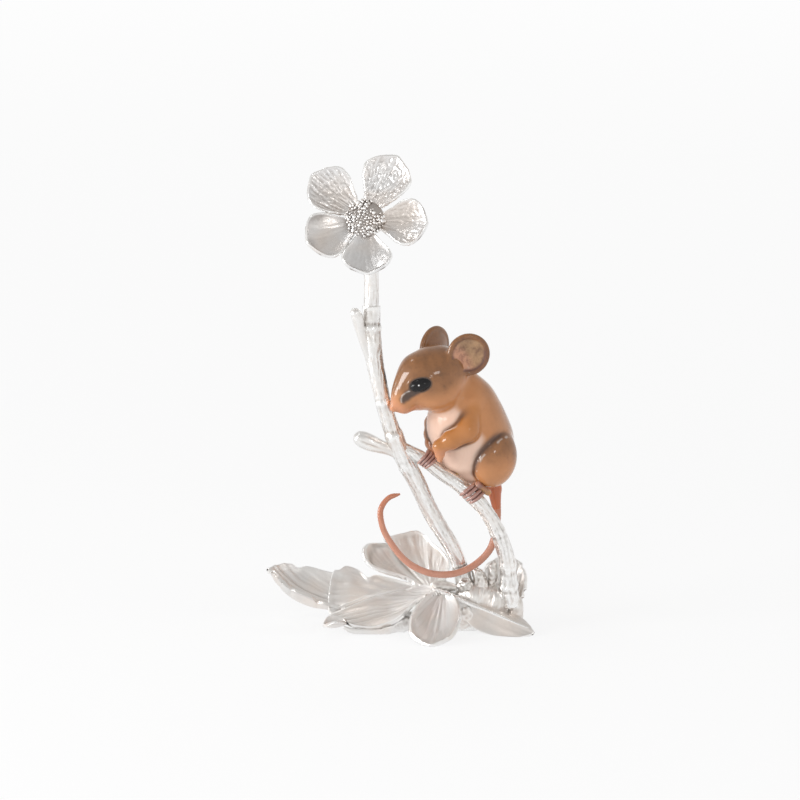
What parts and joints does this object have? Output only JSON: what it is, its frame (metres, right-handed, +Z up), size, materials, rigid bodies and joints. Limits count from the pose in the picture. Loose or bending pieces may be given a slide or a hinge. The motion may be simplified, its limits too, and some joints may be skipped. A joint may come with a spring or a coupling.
{
  "type": "mouse figurine on a flower stem",
  "caption": "Painted mouse gripping the side branch of a bent silver flower stem that stands on a low rosette of cupped leaves.",
  "frame": {"origin": "on the ground, in the flat foot of the hub, below the mouse", "axes": "+Z up, +X to the viewer's right, +Y away from the viewer; the front of the piece looks along -Y"},
  "size_m": [0.0818, 0.0439, 0.1472],
  "materials": {
    "silver": "bright silver plate over a cast relief, grey in the hollows",
    "fur_paint": "glossy lacquered paint, brown over orange tan, pale throat and belly",
    "foot_paint": "glossy dark brown paint",
    "tail_paint": "satin pink copper paint, brown at the root",
    "eye_gloss": "gloss black lacquer",
    "pin_brass": "plain drawn wire"
  },
  "bodies": {
    "root": {"hub": "silver", "near_leaf": "silver", "far_leaf": "silver", "front_leaf": "silver", "back_leaf": "silver", "upright_leaf": "silver", "trailing_leaf": "silver", "main_stem": "silver", "flower_stalk": "silver", "stem_bract": "silver", "side_branch": "silver", "bud_twig": "silver", "flower_centre": "silver", "calyx": "silver", "petal_1": "silver", "petal_2": "silver", "petal_3": "silver", "petal_4": "silver", "petal_5": "silver", "body": "fur_paint", "head": "fur_paint", "ear_left": "fur_paint", "ear_right": "fur_paint", "haunch_left": "fur_paint", "haunch_right": "fur_paint", "foreleg_left": "fur_paint", "foreleg_right": "fur_paint", "foot_left": "foot_paint", "foot_right": "foot_paint", "tail": "tail_paint", "eye_left": "eye_gloss", "eye_right": "eye_gloss", "stem_pin": "pin_brass", "branch_pin": "pin_brass", "flower_pin": "pin_brass", "seat_pin": "pin_brass"}
  },
  "joints": []
}
